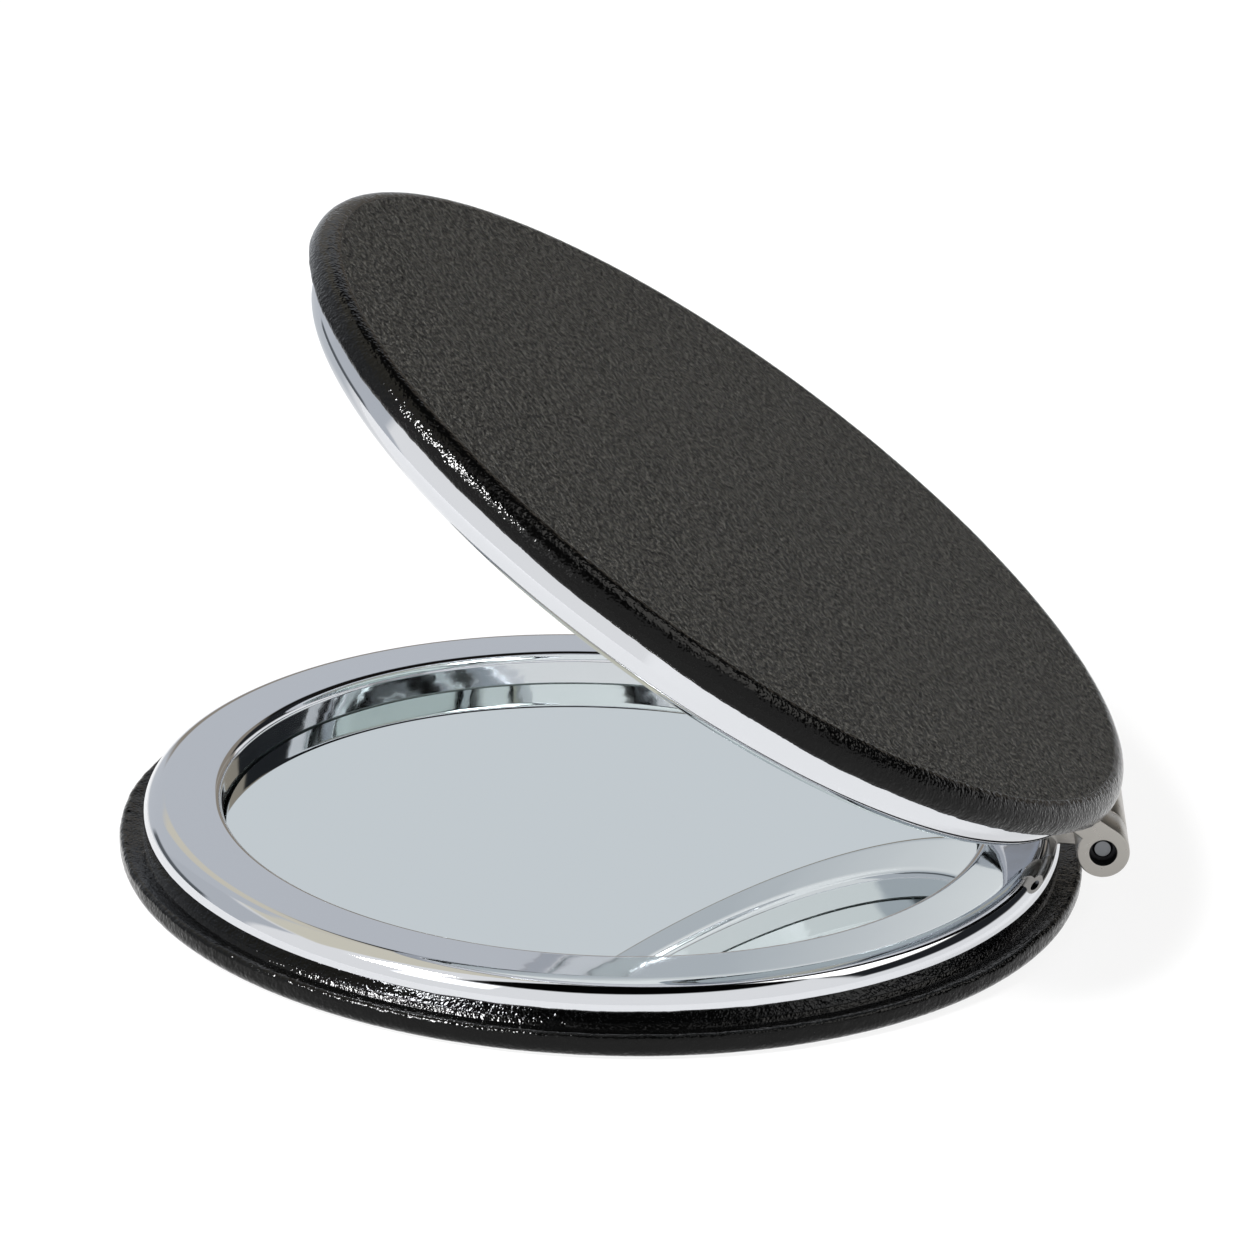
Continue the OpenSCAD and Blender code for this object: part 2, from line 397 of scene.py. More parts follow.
# Float glass, silvered so close to its face that it reflects as a plain mirror
def silveredGlass():
    material, tree, place = objectMaterial("silveredGlass")
    # the glass is flat to a few micrometres over 40 mm
    bend = dented(tree, 0.000012, noise(tree, 25, 0.0, place))
    shader = addNode(
        tree, "ShaderNodeBsdfPrincipled",
        {"Base Color": srgb("#eef3f2"), "Metallic": 1.0, "Roughness": 0.008},
        {"Normal": bend},
    )
    return finished(material, shader)


# The mirror's edge, ground with fine grit: grey-green and dull
def groundGlassEdge():
    material, tree, place = objectMaterial("groundGlassEdge")
    grit = noise(tree, 9000, 3.0, place)
    tone = toned(tree, "#3c4442", "#5d6764", grit)
    shader = addNode(
        tree, "ShaderNodeBsdfPrincipled", {"Roughness": 0.3, "IOR": 1.52},
        {"Base Color": tone, "Normal": dented(tree, 0.00002, grit, 0.6)},
    )
    return finished(material, shader)


leatherLook = {
    # how many there are to the metre, and the height in metres that each gives
    "pebbles": (4000, 0.0005),
    "specks": (4600, 0.0006),
    "ridges": (3800, 0.0007),
    "wrinkles": (1250, 0.0005),
    "ridgeSlant": 58,
    "ridgeStretch": 1.5,
    "faceRoughness": (0.4, 0.58),
    # the face's black, painted darker in the grain's hollows as shade and lighter on its ridge
    # tops as light
    "faceToneShadeToLight": ("#121211", "#4a4945"),
    # lower than a real coat's, for the grain breaks up its gloss
    "coatIndex": 1.26,
    # the rim is stretched: its grain is a quarter wider there, and nearly flat
    "rimMapScale": 0.8,
    "rimRelief": 0.09,
    "rimRoughness": 0.05,
    "rimDye": "#030303",
}


# Heights of the embossed grain over the leather's map, whose unit is the metre
def leatherGrain(tree, sheet):
    look = leatherLook
    # pebbles about 0.25 mm across, with finer specks on them
    pebbles = addNode(
        tree, "ShaderNodeTexVoronoi", {"Scale": look["pebbles"][0], "Randomness": 1.0},
        {"Vector": sheet}, feature="DISTANCE_TO_EDGE", voronoi_dimensions="2D",
    )
    specks = addNode(
        tree, "ShaderNodeTexNoise",
        {"Scale": look["specks"][0], "Detail": 1.0, "Roughness": 0.5},
        {"Vector": sheet}, noise_dimensions="2D",
    )
    # small ridges, 0.25 mm wide and half as long again, slant over the sheet
    slant = addNode(
        tree, "ShaderNodeMapping",
        {
            "Rotation": (0, 0, math.radians(look["ridgeSlant"])),
            "Scale": (look["ridgeStretch"], 1, 1),
        },
        {"Vector": sheet}, vector_type="TEXTURE",
    )
    ridges = addNode(
        tree, "ShaderNodeTexNoise",
        {"Scale": look["ridges"][0], "Detail": 1.0, "Roughness": 0.5},
        {"Vector": slant.outputs[0]}, noise_dimensions="2D",
    )
    # wider wrinkles lie between them, about 1 mm apart
    wrinkles = addNode(
        tree, "ShaderNodeTexNoise", {"Scale": look["wrinkles"][0], "Detail": 1.0},
        {"Vector": slant.outputs[0]}, noise_dimensions="2D",
    )
    return {
        "pebbles": pebbles.outputs["Distance"], "specks": specks.outputs["Fac"],
        "ridges": ridges.outputs["Fac"], "wrinkles": wrinkles.outputs["Fac"],
    }


# Black polyurethane leather, embossed with a fine pebble and finished with a clear
# coat. The face stays dull, and the tight roll at the edge is stretched glossy.
def blackLeather():
    material, tree = newMaterial("blackPolyurethaneLeather")
    look = leatherLook
    sheet = addNode(tree, "ShaderNodeUVMap", uv_map="cutMap").outputs[0]
    gloss = addNode(tree, "ShaderNodeAttribute", attribute_name="rimGloss").outputs["Fac"]
    spread = look["rimMapScale"]
    stretched = addNode(
        tree, "ShaderNodeMapping", {"Scale": (spread, spread, 1)}, {"Vector": sheet},
    )
    faceRelief = addNode(
        tree, "ShaderNodeMapRange", {"To Min": 1.0, "To Max": 0.0}, {"Value": gloss}
    )
    rimRelief = addNode(
        tree, "ShaderNodeMapRange", {"To Min": 0.0, "To Max": look["rimRelief"]},
        {"Value": gloss},
    )
    faceGrain = leatherGrain(tree, sheet)
    rimGrain = leatherGrain(tree, stretched.outputs[0])
    normal = None
    for grain, relief in ((faceGrain, faceRelief), (rimGrain, rimRelief)):
        for kind, height in grain.items():
            links = {"Height": height, "Strength": relief.outputs[0]}
            if normal:
                links["Normal"] = normal
            normal = addNode(
                tree, "ShaderNodeBump", {"Distance": look[kind][1]}, links
            ).outputs[0]
    leastRough, mostRough = look["faceRoughness"]
    dull = addNode(
        tree, "ShaderNodeMapRange", {"To Min": leastRough, "To Max": mostRough},
        {"Value": faceGrain["specks"]},
    )
    rough = addNode(
        tree, "ShaderNodeMix", {3: look["rimRoughness"]},
        {"Factor": gloss, 2: dull.outputs[0]}, data_type="FLOAT",
    )
    # painted light and shade: the colour is lighter on the ridge tops and darker in the hollows
    # between them; most of the ridges' noise lies between 0.4 and 0.6
    ridgeLightShare = addNode(
        tree, "ShaderNodeMapRange", {"From Min": 0.4, "From Max": 0.6},
        {"Value": faceGrain["ridges"]},
    )
    tone = toned(tree, *look["faceToneShadeToLight"], ridgeLightShare.outputs[0])
    rimTone = addNode(
        tree, "ShaderNodeMix", {7: srgb(look["rimDye"])}, {0: gloss, 6: tone},
        data_type="RGBA",
    ).outputs[2]
    shader = addNode(
        tree, "ShaderNodeBsdfPrincipled", {"IOR": look["coatIndex"]},
        {"Base Color": rimTone, "Roughness": rough.outputs[0], "Normal": normal},
    )
    return finished(material, shader)


# Open-cell polyurethane foam, cut from a sheet: dull, with cells of about 0.4 mm
def padFoam():
    material, tree, place = objectMaterial("openCellFoam")
    cells = addNode(
        tree, "ShaderNodeTexVoronoi", {"Scale": 2500}, {"Vector": place}
    ).outputs["Distance"]
    tone = toned(tree, "#2e2e30", "#5a5a5c", cells)
    shader = addNode(
        tree, "ShaderNodeBsdfPrincipled", {"Roughness": 0.95},
        {"Base Color": tone, "Normal": dented(tree, 0.0001, cells)},
    )
    return finished(material, shader)


# Metals that were turned, rolled or plated: a lined or speckled grain in one metal
def workedMetal(name, colour, rough, grainScale, stretch, depth):
    material, tree, place = objectMaterial(name)
    lines = addNode(tree, "ShaderNodeMapping", {"Scale": stretch}, {"Vector": place})
    grain = noise(tree, grainScale, 3.0, lines.outputs[0])
    spread = 0.08
    shine = addNode(
        tree, "ShaderNodeMapRange", {"To Min": rough - spread, "To Max": rough + spread},
        {"Value": grain},
    )
    shader = addNode(
        tree, "ShaderNodeBsdfPrincipled",
        {"Base Color": srgb(colour), "Metallic": 1.0},
        {"Roughness": shine.outputs[0], "Normal": dented(tree, depth, grain)},
    )
    return finished(material, shader)


# Adhesives: cloudy and soft, with a slow unevenness from how they were laid
def adhesive(name, thin, thick, rough, grainScale):
    material, tree, place = objectMaterial(name)
    clouds = noise(tree, grainScale, 2.0, place)
    tone = toned(tree, thin, thick, clouds)
    shader = addNode(
        tree, "ShaderNodeBsdfPrincipled", {"Roughness": rough},
        {"Base Color": tone, "Normal": dented(tree, 0.00005, clouds)},
    )
    return finished(material, shader)


materials = {
    "chrome_plate": chromePlate("polishedChromePlate", 0.00004, 0.000002, 0.02, 0.05),
    "black_leather": blackLeather(),
    "pad_foam": padFoam(),
    "mirror_glass": silveredGlass(),
    # hot-melt glue, laid as a bead: waxy and pale yellow
    "cover_glue": adhesive("hotMeltGlue", "#c9bf9a", "#e2dbc0", 0.4, 300),
    # acrylic foam tape: white and matt
    "mirror_tape": adhesive("acrylicFoamTape", "#dcdcd8", "#ececea", 0.7, 1500),
    # cold-rolled steel sheet: fine lines along the way it was rolled
    "plate_steel": workedMetal(
        "coldRolledSteel", "#8f9296", 0.35, 1500, (0.05, 1, 1), 0.000004
    ),
    # sintered magnet, barrel-plated with nickel: bright with a slight orange peel
    "magnet_nickel": workedMetal(
        "barrelPlatedNickel", "#b9b6ae", 0.22, 2500, (1, 1, 1), 0.000004
    ),
    # cold-headed steel wire, cropped and bevelled: grey with a drawn grain
    "pin_steel": workedMetal(
        "drawnSteelWire", "#77797c", 0.34, 3500, (1, 0.1, 1), 0.000006
    ),
    # stamped stainless shim: bright and flat
    "washer_steel": workedMetal(
        "stampedStainlessShim", "#c3c5c8", 0.2, 2500, (1, 1, 1), 0.000003
    ),
}
groundEdge = groundGlassEdge()
# the buffing wheel does not reach into the well, whose plate keeps the casting's ripple
wellChrome = chromePlate("unbuffedChromePlate", 0.00011, 0.000007, 0.03, 0.08)
# plated castings that were only tumbled, not buffed: satin, with a fine peel
tumbled = workedMetal("tumbledNickelPlate", "#a6a39e", 0.3, 2600, (1, 1, 1), 0.000005)
# the same casting inside its bores: dull, and painted dark as the shade that falls in them
boreShadeMetal = workedMetal("zincBorePaintedShade", "#3a3a3c", 0.5, 2600, (1, 1, 1), 0.000005)
print("materials made")

# CAD nodes whose shape is right keep it and get their finish here
for node, slot in {
    "base_plate": "plate_steel", "lid_plate": "plate_steel",
    "base_glue": "cover_glue", "lid_glue": "cover_glue",
    "base_mirror_tape": "mirror_tape", "lid_mirror_tape": "mirror_tape",
    "base_magnet_left": "magnet_nickel", "base_magnet_right": "magnet_nickel",
    "lid_magnet_left": "magnet_nickel", "lid_magnet_right": "magnet_nickel",
    "hinge_pin": "pin_steel",
    "hinge_washer_near": "washer_steel", "hinge_washer_far": "washer_steel",
}.items():
    for place in frame["nodes"][node].material_slots:
        place.material = materials[slot]
print("CAD nodes finished")


# Turned pieces: a closed outline in (radius, height), from the axis on the outer face
# round to the axis on the inner one, turned about the half's own axis.

def turnedMesh(name, radii, heights, body):
    rows, segments = radii.shape
    angles = np.linspace(0, 2 * math.pi, segments, endpoint=False)
    ring = np.stack([radii * np.cos(angles), radii * np.sin(angles), heights], axis=2)
    points = np.concatenate([
        [[0, 0, heights[0].mean()]], ring[1:-1].reshape(-1, 3), [[0, 0, heights[-1].mean()]]
    ])
    column = np.arange(segments)
    after = (column + 1) % segments
    faces = [(0, 1 + b, 1 + a) for a, b in zip(column, after)]
    for row in range(rows - 3):
        low, high = 1 + row * segments, 1 + (row + 1) * segments
        faces += [
            (low + a, low + b, high + b, high + a) for a, b in zip(column, after)
        ]
    last, pole = 1 + (rows - 3) * segments, len(points) - 1
    faces += [(last + a, last + b, pole) for a, b in zip(column, after)]
    mesh = bpy.data.meshes.new(name)
    mesh.from_pydata([places[body] @ Vector(p) for p in points], [], faces)
    mesh.polygons.foreach_set("use_smooth", [True] * len(mesh.polygons))
    mesh.update()
    return placed(name, mesh)


def turnedOutline(name, outline, segments, body):
    radii = np.repeat(outline[:, :1], segments, axis=1)
    heights = np.repeat(outline[:, 1:], segments, axis=1)
    return turnedMesh(name, radii, heights, body)


def arc(centre, radius, fromDegrees, toDegrees, steps):
    x, z = centre
    turns = [math.radians(a) for a in np.linspace(fromDegrees, toDegrees, steps + 1)]
    return [(x + radius * math.cos(turn), z + radius * math.sin(turn)) for turn in turns]


# Leather covers

coverSettings = {
    "segments": 1440,
    "faceRows": 10,
    "outerRadius": 33.1,
    "footRadius": 31.36,
    "neckRadius": 31.1,
    "plateLow": -3.6,
    "plateTop": -3.19,
    "plateRadius": 31.8,
    "tuckedEdge": -2.77,
    "leatherThickness": 0.6,
    "edgeRound": 0.35,
    # how far the edge curls over, in degrees
    "edgeTurn": 112,
    "edgeTop": {"base": -2.85, "lid": -3.0},
    # from the edge the leather dips to the groove beside the chrome: radius, and the
    # share of the groove's depth there
    "dip": ((32.45, 0.24), (32.25, 0.48), (32.05, 0.68), (31.85, 0.85), (31.65, 0.95)),
    "grooveRadius": 31.5,
    "grooveFloor": -3.13,
    "grooveFillet": (0.02, 0.03),
    "foam": {"base": 0.3, "lid": 0.8},
    "crown": {"base": 0.0, "lid": 0.12},
    # rows of the face close to the roll, by how far inside it they lie
    "closeRows": (1.6, 1.2, 0.8, 0.5, 0.25, 0.1),
    "rollSteps": 14,
    "edgeSteps": 12,
    "foamSteps": 5,
    # unevenness of hand-laid leather: height, and the fewest and most waves in a turn
    "wander": ((0.05, 3, 26), (0.03, 27, 120)),
    "lift": ((0.07, 3, 24), (0.035, 31, 160)),
    "bulge": ((0.03, 5, 40),),
    "wanderInward": 0.04,
    "bulgeInward": 0.03,
    "wanderShares": {"edge": 1.0, "dip": 0.6},
    "liftShares": {"edge": 1.0, "dip": 0.2},
    "bulgeShares": {"roll": 1.0},
    # the gathers die out over the face, and its gloss comes in just before the roll
    "gatherShares": {"roll": 0.5, "edge": 1.0, "dip": 0.3},
    "gatherFade": 1.6,
    "glossFade": 0.8,
    "glossAtRoll": 0.3,
    "gatherDepth": 0.025,
    "gatherSpacing": 0.26,
    "gatherLength": 0.9,
    # the noise's distance from its middle within which a crease sinks
    "creaseWidth": 0.14,
    # patches of strong and weak gathers, each some 12 creases across
    "patchScale": 0.08,
    "weakestPatch": 0.15,
    "seed": {"base": 11, "lid": 4},
}


def uneven(angles, layers, rng):
    # a smooth unevenness round the rim, each layer made of whole waves per turn
    heights = np.zeros_like(angles)
    for height, fewest, most in layers:
        total = np.zeros_like(angles)
        for count in range(fewest, most + 1):
            size = rng.normal()
            phase = rng.uniform(0, 2 * math.pi)
            total += size * np.cos(count * angles + phase) / math.sqrt(count)
        heights += height * (total / max(abs(total).max(), 1e-9))
    return heights


def leatherCover(body):
    s = coverSettings
    rng = np.random.default_rng(s["seed"][body])
    rollRadius = s["leatherThickness"] + s["foam"][body]
    rollIn = s["outerRadius"] - rollRadius
    low = s["plateLow"]
    top = s["edgeTop"][body]
    bend = s["edgeRound"]
    groove = s["grooveFloor"]
    # face, round the rim, over the upper edge and down to the chrome, then back inside
    face = [(rollIn * t, low - rollRadius) for t in np.linspace(0, 1, s["faceRows"])[:-1]]
    face += [(rollIn - inset, low - rollRadius) for inset in s["closeRows"]]
    roll = arc((rollIn, low), rollRadius, -90, 0, s["rollSteps"])
    edge = arc(
        (s["outerRadius"] - bend, top - bend), bend, 0, s["edgeTurn"], s["edgeSteps"]
    )
    dip = [(r, top - (top - groove) * share) for r, share in s["dip"]]
    out, up = s["grooveFillet"]
    tuck = [
        (s["grooveRadius"], groove), (s["footRadius"] + out, groove + up),
        (s["footRadius"], s["tuckedEdge"]),
    ]
    inner = [
        (s["neckRadius"], s["tuckedEdge"]), (s["neckRadius"], s["plateTop"]),
        (s["plateRadius"], s["plateTop"]), (s["outerRadius"] - s["leatherThickness"], low),
    ]
    inner += arc((rollIn, low), s["foam"][body], 0, -90, s["foamSteps"])[1:]
    inner += [
        (rollIn * t, low - s["foam"][body]) for t in np.linspace(1, 0, s["foamSteps"])[1:]
    ]
    outline = np.array(face + roll + edge + dip + tuck + inner)
    regions = np.array(
        ["face"] * len(face) + ["roll"] * len(roll) + ["edge"] * len(edge)
        + ["dip"] * len(dip) + ["tuck"] * len(tuck) + ["inner"] * len(inner)
    )
    angles = np.linspace(0, 2 * math.pi, s["segments"], endpoint=False)
    radii = np.repeat(outline[:, :1], s["segments"], axis=1)
    heights = np.repeat(outline[:, 1:], s["segments"], axis=1)

    # the face swells towards its middle, on both of its sides
    onFace = (regions == "face") | (outline[:, 1] == low - s["foam"][body])
    swell = s["crown"][body] * (1 - (outline[:, 0] / rollIn) ** 2) * onFace
    heights -= swell[:, None]

    def spreadOver(shares):
        return np.array([shares.get(region, 0.0) for region in regions])[:, None]

    # hand-laid leather: its upper edge wanders by about a tenth of a millimetre
    wander = uneven(angles, s["wander"], rng) - s["wanderInward"]
    radii += spreadOver(s["wanderShares"]) * wander
    heights += spreadOver(s["liftShares"]) * uneven(angles, s["lift"], rng)
    bulge = uneven(angles, s["bulge"], rng) - s["bulgeInward"]
    upRoll = np.clip((outline[:, 1:] - (low - rollRadius)) / rollRadius, 0, 1)
    radii += spreadOver(s["bulgeShares"]) * (bulge * upRoll)

    cover = turnedMesh(body + "_cover_leather", radii, heights, body)
    storeWrap(cover, outline, regions, angles)
    gathered(cover, body)
    cover = settled(cover)
    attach(cover, body)
    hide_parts(body + "_leather")


# Where each point lies on the flat sheet of leather, kept on the mesh: cutMap for the
# grain, wrapCoord for the gathers, and how far each is gathered or stretched glossy.
def storeWrap(cover, outline, regions, angles):
    s = coverSettings
    mesh = cover.data
    lengths = np.linalg.norm(np.diff(outline, axis=0), axis=1)

    def perPoint(values):
        flat = np.repeat(values[1:-1, None], len(angles), axis=1).ravel()
        return np.concatenate([[values[0]], flat, [values[-1]]])

    def keep(name, kind, key, values):
        mesh.attributes.new(name, kind, "POINT").data.foreach_set(key, values.ravel())

    runs = perPoint(np.concatenate([[0], np.cumsum(lengths)])) * mm
    turn = np.concatenate([[0], np.tile(angles, len(outline) - 2), [0]])
    rim = s["outerRadius"] * mm
    wrap = np.stack([rim * np.cos(turn), rim * np.sin(turn), runs], axis=1)
    keep("wrapCoord", "FLOAT_VECTOR", "vector", wrap)
    onFace = regions == "face"
    rollStart = outline[list(regions).index("roll"), 0]
    toRoll = rollStart - outline[onFace, 0]
    masks = np.array([s["gatherShares"].get(region, 0.0) for region in regions])
    masks[onFace] = s["gatherShares"]["roll"] * np.clip(1 - toRoll / s["gatherFade"], 0, 1)
    keep("gatherMask", "FLOAT", "value", perPoint(masks))
    glosses = np.where(onFace, 0.0, 1.0)
    glosses[onFace] = np.clip(s["glossAtRoll"] - toRoll / s["glossFade"], 0, 1)
    keep("rimGloss", "FLOAT", "value", perPoint(glosses))
    flat = np.stack([runs * np.cos(turn), runs * np.sin(turn)], axis=1)
    corners = np.empty(len(mesh.loops), dtype=np.int32)
    mesh.loops.foreach_get("vertex_index", corners)
    mesh.uv_layers.new(name="cutMap").data.foreach_set("uv", flat[corners].ravel())


# Gathers: the leather is pulled round the rim and folds into short radial creases
def gathered(cover, body):
    s = coverSettings
    tree = bpy.data.node_groups.new(body + "Gathers", "GeometryNodeTree")
    for name, kind, way in (
        ("Geometry", "NodeSocketGeometry", "INPUT"), ("Depth", "NodeSocketFloat", "INPUT"),
        ("Spacing", "NodeSocketFloat", "INPUT"), ("Length", "NodeSocketFloat", "INPUT"),
        ("Seed", "NodeSocketFloat", "INPUT"), ("Leather", "NodeSocketMaterial", "INPUT"),
        ("Geometry", "NodeSocketGeometry", "OUTPUT"),
    ):
        tree.interface.new_socket(name, in_out=way, socket_type=kind)
    given = addNode(tree, "NodeGroupInput")
    wrap = addNode(
        tree, "GeometryNodeInputNamedAttribute", {"Name": "wrapCoord"},
        data_type="FLOAT_VECTOR",
    )
    mask = addNode(
        tree, "GeometryNodeInputNamedAttribute", {"Name": "gatherMask"}, data_type="FLOAT"
    )
    spacing = given.outputs["Spacing"]
    sizes = addNode(
        tree, "ShaderNodeCombineXYZ",
        links={0: spacing, 1: spacing, 2: given.outputs["Length"]},
    )
    scaled = addNode(
        tree, "ShaderNodeVectorMath",
        links={0: wrap.outputs["Attribute"], 1: sizes.outputs[0]}, operation="DIVIDE",
    )
    folds = addNode(
        tree, "ShaderNodeTexNoise", {"Scale": 1.0, "Detail": 1.0},
        {"Vector": scaled.outputs[0], "W": given.outputs["Seed"]}, noise_dimensions="4D",
    )
    patches = addNode(
        tree, "ShaderNodeTexNoise", {"Scale": s["patchScale"], "Detail": 0.0},
        {"Vector": scaled.outputs[0], "W": given.outputs["Seed"]}, noise_dimensions="4D",
    )
    # most of the noise lies between 0.35 and 0.65, so that is the patches' whole range
    spread = addNode(
        tree, "ShaderNodeMapRange",
        {"From Min": 0.35, "From Max": 0.65, "To Min": s["weakestPatch"], "To Max": 1.0},
        {"Value": patches.outputs["Fac"]},
    )
    # a crease lies where the noise crosses its middle, 0.5
    middle = addNode(
        tree, "ShaderNodeMath", {1: 0.5}, {0: folds.outputs["Fac"]}, operation="SUBTRACT"
    )
    ridge = addNode(
        tree, "ShaderNodeMath", links={0: middle.outputs[0]}, operation="ABSOLUTE"
    )
    sharp = addNode(
        tree, "ShaderNodeMapRange",
        {"From Min": 0.0, "From Max": s["creaseWidth"], "To Min": -1.0, "To Max": 0.0},
        {"Value": ridge.outputs[0]}, interpolation_type="SMOOTHSTEP",
    )
    depth = sharp.outputs[0]
    for factor in (spread.outputs[0], mask.outputs["Attribute"], given.outputs["Depth"]):
        depth = addNode(
            tree, "ShaderNodeMath", links={0: depth, 1: factor}, operation="MULTIPLY"
        ).outputs[0]
    normal = addNode(tree, "GeometryNodeInputNormal")
    offset = addNode(
        tree, "ShaderNodeVectorMath", links={0: normal.outputs[0], "Scale": depth},
        operation="SCALE",
    )
    moved = addNode(
        tree, "GeometryNodeSetPosition",
        links={"Geometry": given.outputs["Geometry"], "Offset": offset.outputs[0]},
    )
    real = addNode(
        tree, "GeometryNodeRealizeInstances", links={"Geometry": moved.outputs[0]}
    )
    dressed = addNode(
        tree, "GeometryNodeSetMaterial",
        links={"Geometry": real.outputs[0], "Material": given.outputs["Leather"]},
    )
    addNode(tree, "NodeGroupOutput", links={"Geometry": dressed.outputs[0]})
    modifier = cover.modifiers.new("gathers", "NODES")
    modifier.node_group = tree
    values = {
        "Depth": s["gatherDepth"] * mm, "Spacing": s["gatherSpacing"] * mm,
        "Length": s["gatherLength"] * mm, "Seed": float(s["seed"][body]),
        "Leather": materials["black_leather"],
    }
    for socket in tree.interface.items_tree:
        if socket.in_out == "INPUT" and socket.name in values:
            modifier[socket.identifier] = values[socket.name]


# Replaces an object that has live modifiers by a plain mesh of what they make
def settled(source):
    name = source.name
    graph = bpy.context.evaluated_depsgraph_get()
    mesh = bpy.data.meshes.new_from_object(
        source.evaluated_get(graph), preserve_all_data_layers=True, depsgraph=graph
    )
    bpy.data.objects.remove(source)
    mesh.name = name
    return placed(name, mesh)


for body in ("base", "lid"):
    leatherCover(body)
    print(body, "leather cover wrapped and gathered")


# Chrome rings, cast and then turned: an outline in (radius, height) that closes on itself

ringSettings = {
    "segments": 1440,
    # radii
    "wellBack": 25.95,
    "well": 26.2,
    "neck": 31.08,
    "foot": 31.38,
    "wall": 31.5,
    # heights
    "back": -3.1,
    "footHeight": -2.75,
    "rim": -0.1,
    # the rounding of its outer shoulder, and of the lip round the well
    "rimRound": 1.6,
    "rimSteps": 24,
    "lipRound": 0.7,
    "lipSteps": 14,
    "edgeBreak": 0.04,
    # a narrow row at each end of a straight run keeps its shading flat
    "flatRow": 0.05,
    # how far outside the well's edge the buffing starts
    "buffedFrom": 0.1,
    "pocketRadius": 1.55,
    "pocketDepth": 2.05,
    "pocketAngle": 14,
    "pocketSides": 64,
    "pocketOverrun": 0.5,
}


def closedLoops(name, loops, body, flatRows=()):
    # joins loops of as many points each, and the last to the first; a flat row is filled
    # by triangles, for its two loops' points need not lie opposite each other
    rows, count, _ = loops.shape
    index = np.arange(rows * count).reshape(rows, count)
    nextRow, nextColumn = np.roll(index, -1, axis=0), np.roll(index, -1, axis=1)
    corner = np.roll(nextRow, -1, axis=1)
    quads = np.stack([index, nextColumn, corner, nextRow], axis=2)
    faces = [
        quad for row in range(rows) if row not in flatRows for quad in quads[row].tolist()
    ]
    for row in flatRows:
        numbers = index[row].tolist() + nextRow[row].tolist()
        edges = [[Vector(p) for p in loops[r % rows]] for r in (row, row + 1)]
        faces += [[numbers[i] for i in three] for three in tessellate_polygon(edges)]
    mesh = bpy.data.meshes.new(name)
    mesh.from_pydata([places[body] @ Vector(p) for p in loops.reshape(-1, 3)], [], faces)
    mesh.polygons.foreach_set("use_smooth", [True] * len(mesh.polygons))
    mesh.update()
    return placed(name, mesh)


def between(start, end, edge):
    # a straight run with a close row at each end
    start, end = np.array(start), np.array(end)
    step = (end - start) / np.linalg.norm(end - start) * edge
    return [
        tuple(point)
        for point in (start, start + step, (start + end) / 2, end - step, end)
    ]


def chromeRing(body):
    s = ringSettings
    lean = math.degrees(math.atan((s["well"] - s["wellBack"]) / (s["rim"] - s["back"])))
    leanTurn = math.radians(lean)
    lipRadius = s["lipRound"]
    lipX = s["well"] + lipRadius * (1 / math.cos(leanTurn) - math.tan(leanTurn))
    lip = arc((lipX, s["rim"] - lipRadius), lipRadius, 90, 180 - lean, s["lipSteps"])
    rimRadius = s["rimRound"]
    shoulder = arc(
        (s["wall"] - rimRadius, s["rim"] - rimRadius), rimRadius, 0, 90, s["rimSteps"]
    )
    b, footLevel, flatRow = s["edgeBreak"], s["footHeight"], s["flatRow"]
    back = between((s["wellBack"] + b, s["back"]), (s["neck"] - b, s["back"]), b)
    neck = [
        (s["neck"], s["back"] + b), (s["neck"], footLevel - b), (s["neck"] + b, footLevel)
    ]
    foot = [(s["foot"] - b, footLevel), (s["foot"], footLevel + b)]
    wall = between(foot[-1], shoulder[0], flatRow)[1:-1]
    annulus = between(shoulder[-1], lip[0], flatRow)[1:-1]
    well = between(lip[-1], (s["wellBack"], s["back"] + b), flatRow)[1:]
    outline = np.array(back + neck + foot + wall + shoulder + annulus + lip + well)
    angles = np.linspace(0, 2 * math.pi, s["segments"], endpoint=False)
    loops = np.stack([
        outline[:, :1] * np.cos(angles), outline[:, :1] * np.sin(angles),
        np.repeat(outline[:, 1:], s["segments"], axis=1),
    ], axis=2)
    ring = closedLoops(body + "_chrome_ring", loops, body)
    ring.data.materials.append(materials["chrome_plate"])
    ring.data.materials.append(wellChrome)
    ring = pocketed(ring, body)
    home = places[body].inverted()
    for polygon in ring.data.polygons:
        x, y, _ = home @ polygon.center
        inWell = math.hypot(x, y) < s["well"] + s["buffedFrom"]
        polygon.material_index = 1 if inWell else 0
    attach(ring, body)
    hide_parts(body + "_case")


def pocketed(ring, body):
    # two blind pockets for the magnets, cut into the back of the ring
    s = ringSettings
    middle = (s["neck"] + s["wellBack"]) / 2
    turns = np.linspace(0, 2 * math.pi, s["pocketSides"], endpoint=False)
    levels = (s["back"] - s["pocketOverrun"], s["back"] + s["pocketDepth"])
    for side in (-1, 1):
        at = math.pi + side * math.radians(s["pocketAngle"])
        points = [
            places[body] @ Vector((
                middle * math.cos(at) + s["pocketRadius"] * math.cos(t),
                middle * math.sin(at) + s["pocketRadius"] * math.sin(t), z,
            ))
            for z in levels for t in turns
        ]
        count = len(turns)
        faces = [tuple(reversed(range(count))), tuple(range(count, 2 * count))]
        faces += [
            (i, (i + 1) % count, count + (i + 1) % count, count + i) for i in range(count)
        ]
        mesh = bpy.data.meshes.new("pocketCutter")
        mesh.from_pydata(points, [], faces)
        cutter = placed("pocketCutter", mesh)
        cut = ring.modifiers.new("pocket", "BOOLEAN")
        cut.operation = "DIFFERENCE"
        cut.solver = "MANIFOLD"
        cut.object = cutter
        ring = settled(ring)
        bpy.data.objects.remove(cutter)
    return ring


for body in ("base", "lid"):
    chromeRing(body)
    print(body, "chrome ring turned")


# Hinge castings: outlines round the pin's axis, drawn along it and bored

